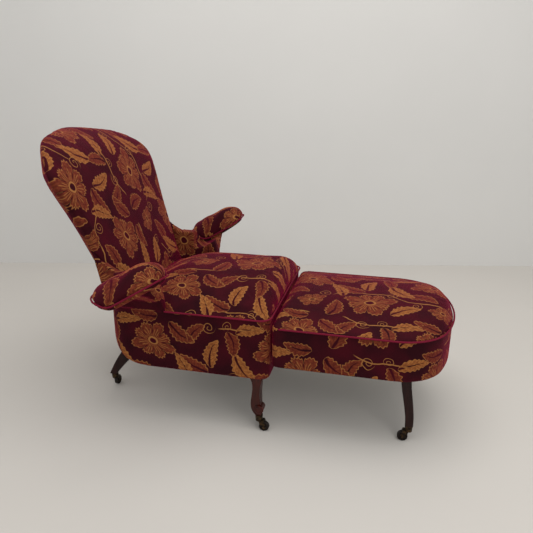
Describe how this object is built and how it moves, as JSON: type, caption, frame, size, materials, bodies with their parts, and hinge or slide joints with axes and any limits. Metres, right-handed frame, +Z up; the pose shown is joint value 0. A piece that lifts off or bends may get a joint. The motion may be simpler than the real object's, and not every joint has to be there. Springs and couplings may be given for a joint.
{
  "type": "upholstered armchair with footstool",
  "caption": "Low upholstered armchair with a rolled back, flared padded arms and legs on castors, and a matching footstool that hooks on in front to make a day bed.",
  "frame": {"origin": "on the floor, under the middle of the bounding box of chair and footstool hooked together", "axes": "+X from the chair's back to the footstool's far end, +Y to the sitter's left, +Z up"},
  "size_m": [1.3437, 0.9662, 0.9065],
  "materials": {
    "floral_cover": "woven floral furnishing cloth over stuffing, slight sheen",
    "piping": "covered cord piping",
    "carved_leg": "polished red mahogany",
    "dark_leg": "dark stained wood, satin",
    "frame_wood": "bare beech, hidden",
    "castor_metal": "tarnished brass",
    "castor_wheel": "dark turned wood, worn",
    "dust_cloth": "plain black dust cloth",
    "webbing": "woven jute webbing",
    "hook_steel": "zinc plated strip"
  },
  "bodies": {
    "chair": {"arm_cover_left": "floral_cover", "arm_cover_right": "floral_cover", "arm_frame_left": "frame_wood", "arm_frame_right": "frame_wood", "arm_pad_left": "floral_cover", "arm_pad_right": "floral_cover", "arm_piping_left": "piping", "arm_piping_right": "piping", "back_frame": "frame_wood", "back_pad": "floral_cover", "back_rail": "frame_wood", "castor_socket_front_left": "castor_metal", "castor_socket_front_right": "castor_metal", "castor_socket_rear_left": "castor_metal", "castor_socket_rear_right": "castor_metal", "chair_dust_cover": "dust_cloth", "front_border": "floral_cover", "front_leg_left": "carved_leg", "front_leg_right": "carved_leg", "front_rail": "frame_wood", "hook_keeper_left": "hook_steel", "hook_keeper_right": "hook_steel", "outside_back": "floral_cover", "rear_border": "floral_cover", "rear_leg_left": "dark_leg", "rear_leg_right": "dark_leg", "seat_pad": "floral_cover", "seat_piping": "piping", "seat_webbing": "webbing", "side_border_left": "floral_cover", "side_border_right": "floral_cover", "side_rail_left": "frame_wood", "side_rail_right": "frame_wood"},
    "stool": {"stool_border": "floral_cover", "stool_dust_cover": "dust_cloth", "stool_end_rail": "frame_wood", "stool_hook_left": "hook_steel", "stool_hook_right": "hook_steel", "stool_leg_left": "dark_leg", "stool_leg_right": "dark_leg", "stool_near_rail": "frame_wood", "stool_pad": "floral_cover", "stool_piping": "piping", "stool_side_rail_left": "frame_wood", "stool_side_rail_right": "frame_wood", "castor_socket_stool_left": "castor_metal", "castor_socket_stool_right": "castor_metal"},
    "castor_swivel_front_left": {"castor_fork_front_left": "castor_metal"},
    "castor_roller_front_left": {"castor_wheel_front_left": "castor_wheel"},
    "castor_swivel_rear_left": {"castor_fork_rear_left": "castor_metal"},
    "castor_roller_rear_left": {"castor_wheel_rear_left": "castor_wheel"},
    "castor_swivel_stool_left": {"castor_fork_stool_left": "castor_metal"},
    "castor_roller_stool_left": {"castor_wheel_stool_left": "castor_wheel"},
    "castor_swivel_front_right": {"castor_fork_front_right": "castor_metal"},
    "castor_roller_front_right": {"castor_wheel_front_right": "castor_wheel"},
    "castor_swivel_rear_right": {"castor_fork_rear_right": "castor_metal"},
    "castor_roller_rear_right": {"castor_wheel_rear_right": "castor_wheel"},
    "castor_swivel_stool_right": {"castor_fork_stool_right": "castor_metal"},
    "castor_roller_stool_right": {"castor_wheel_stool_right": "castor_wheel"}
  },
  "joints": [
    {"name": "stool_lift", "type": "slide", "parent": "chair", "child": "stool", "axis": [0, 0, 1], "range_m": [0, 0.06]},
    {"name": "swivel_front_left", "type": "hinge", "parent": "chair", "child": "castor_swivel_front_left", "pos_m": [0.09403, 0.256, 0.0376], "axis": [0, 0, 1], "continuous": true},
    {"name": "roll_front_left", "type": "hinge", "parent": "castor_swivel_front_left", "child": "castor_roller_front_left", "pos_m": [0.11103, 0.256, 0.016], "axis": [0, 1, 0], "continuous": true},
    {"name": "swivel_rear_left", "type": "hinge", "parent": "chair", "child": "castor_swivel_rear_left", "pos_m": [-0.47997, 0.118, 0.0376], "axis": [0, 0, 1], "continuous": true},
    {"name": "roll_rear_left", "type": "hinge", "parent": "castor_swivel_rear_left", "child": "castor_roller_rear_left", "pos_m": [-0.47997, 0.101, 0.016], "axis": [1, 0, 0], "continuous": true},
    {"name": "swivel_stool_left", "type": "hinge", "parent": "stool", "child": "castor_swivel_stool_left", "pos_m": [0.55553, 0.203, 0.0376], "axis": [0, 0, 1], "continuous": true},
    {"name": "roll_stool_left", "type": "hinge", "parent": "castor_swivel_stool_left", "child": "castor_roller_stool_left", "pos_m": [0.53853, 0.203, 0.016], "axis": [0, 1, 0], "continuous": true},
    {"name": "swivel_front_right", "type": "hinge", "parent": "chair", "child": "castor_swivel_front_right", "pos_m": [0.09403, -0.256, 0.0376], "axis": [0, 0, 1], "continuous": true},
    {"name": "roll_front_right", "type": "hinge", "parent": "castor_swivel_front_right", "child": "castor_roller_front_right", "pos_m": [0.11103, -0.256, 0.016], "axis": [0, 1, 0], "continuous": true},
    {"name": "swivel_rear_right", "type": "hinge", "parent": "chair", "child": "castor_swivel_rear_right", "pos_m": [-0.47997, -0.118, 0.0376], "axis": [0, 0, 1], "continuous": true},
    {"name": "roll_rear_right", "type": "hinge", "parent": "castor_swivel_rear_right", "child": "castor_roller_rear_right", "pos_m": [-0.47997, -0.101, 0.016], "axis": [1, 0, 0], "continuous": true},
    {"name": "swivel_stool_right", "type": "hinge", "parent": "stool", "child": "castor_swivel_stool_right", "pos_m": [0.55553, -0.203, 0.0376], "axis": [0, 0, 1], "continuous": true},
    {"name": "roll_stool_right", "type": "hinge", "parent": "castor_swivel_stool_right", "child": "castor_roller_stool_right", "pos_m": [0.53853, -0.203, 0.016], "axis": [0, 1, 0], "continuous": true}
  ]
}
